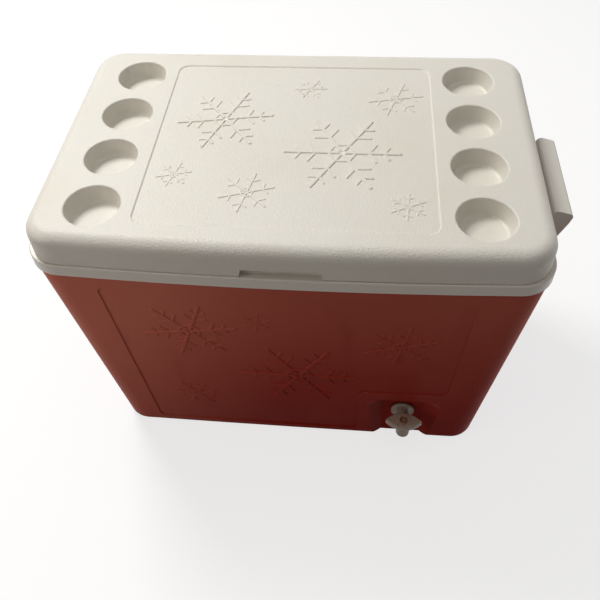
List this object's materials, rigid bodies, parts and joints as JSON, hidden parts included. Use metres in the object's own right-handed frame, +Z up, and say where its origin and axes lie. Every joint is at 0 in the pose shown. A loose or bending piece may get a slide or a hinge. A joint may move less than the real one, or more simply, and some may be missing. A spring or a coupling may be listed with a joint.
{
  "type": "shot chiller dispenser",
  "caption": "Insulated tapering chest with a hinged lid that has round glass wells, swing handles at the ends, and a small tap fed by a coil lying in ice.",
  "frame": {"origin": "on the floor under the middle of the chest", "axes": "+X to the right as seen from the tap side, +Y towards the hinges at the back, +Z up"},
  "size_m": [0.5611, 0.3409, 0.383],
  "materials": {
    "red_plastic": "fine satin grain",
    "cream_plastic": "fine pebbled grain",
    "liner_plastic": "smooth",
    "foam": "closed cells",
    "tap_plastic": "satin",
    "valve_plastic": "smooth",
    "stainless": "drawn tube",
    "brass": "turned",
    "core_plastic": "smooth",
    "tank_plastic": "milky",
    "cap_plastic": "satin",
    "seal_rubber": "matte",
    "hose_rubber": "smooth",
    "screw_steel": "zinc plated"
  },
  "bodies": {
    "chest": {"body_foam": "foam", "bracket_screws_left": "screw_steel", "bracket_screws_right": "screw_steel", "chill_coil": "stainless", "coil_core": "core_plastic", "coil_ferrule": "brass", "coil_union_nut": "brass", "drink_tank": "tank_plastic", "feed_hose": "hose_rubber", "handle_bracket_left": "cream_plastic", "handle_bracket_right": "cream_plastic", "handle_pins_left": "cream_plastic", "handle_pins_right": "cream_plastic", "hinge_body_leaf_left": "cream_plastic", "hinge_body_leaf_right": "cream_plastic", "hinge_body_screws": "screw_steel", "hinge_pin_left": "screw_steel", "hinge_pin_right": "screw_steel", "hose_clamps": "screw_steel", "inner_liner": "liner_plastic", "outer_shell": "red_plastic", "shank_sleeve": "valve_plastic", "tank_outlet_fitting": "valve_plastic", "tank_outlet_nut": "valve_plastic", "tank_outlet_washer": "seal_rubber", "tap_body": "tap_plastic", "tap_inner_washer": "seal_rubber", "tap_lock_nut": "valve_plastic", "tap_outer_washer": "seal_rubber"},
    "lid": {"lid_top": "cream_plastic", "lid_inner_pan": "liner_plastic", "lid_foam": "foam", "hinge_lid_leaf_left": "cream_plastic", "hinge_lid_leaf_right": "cream_plastic", "hinge_lid_screws": "screw_steel"},
    "right_handle": {"handle_right": "cream_plastic"},
    "left_handle": {"handle_left": "cream_plastic"},
    "tap_valve": {"tap_knob": "tap_plastic", "tap_plug": "valve_plastic", "plug_o_rings": "seal_rubber", "knob_screw": "screw_steel"},
    "cap": {"tank_cap": "cap_plastic", "tank_cap_gasket": "seal_rubber"}
  },
  "joints": [
    {"name": "lid_hinge", "type": "hinge", "parent": "chest", "child": "lid", "pos_m": [0, 0.1715, 0.3455], "axis": [-1, 0, 0], "range_deg": [0, 105]},
    {"name": "right_handle_pivot", "type": "hinge", "parent": "chest", "child": "right_handle", "pos_m": [0.26339, -0.0018, 0.288], "axis": [0, 1, 0], "range_deg": [0, 165]},
    {"name": "left_handle_pivot", "type": "hinge", "parent": "chest", "child": "left_handle", "pos_m": [-0.26339, -0.0018, 0.288], "axis": [0, 1, 0], "range_deg": [0, 165]},
    {"name": "tap_turn", "type": "hinge", "parent": "chest", "child": "tap_valve", "pos_m": [0.135, -0.1525, 0.055], "axis": [0, 0, 1], "range_deg": [0, 90]},
    {"name": "cap_turn", "type": "hinge", "parent": "chest", "child": "cap", "pos_m": [0.14498, 0, 0.32], "axis": [0, 0, 1], "range_deg": [0, 90]}
  ]
}
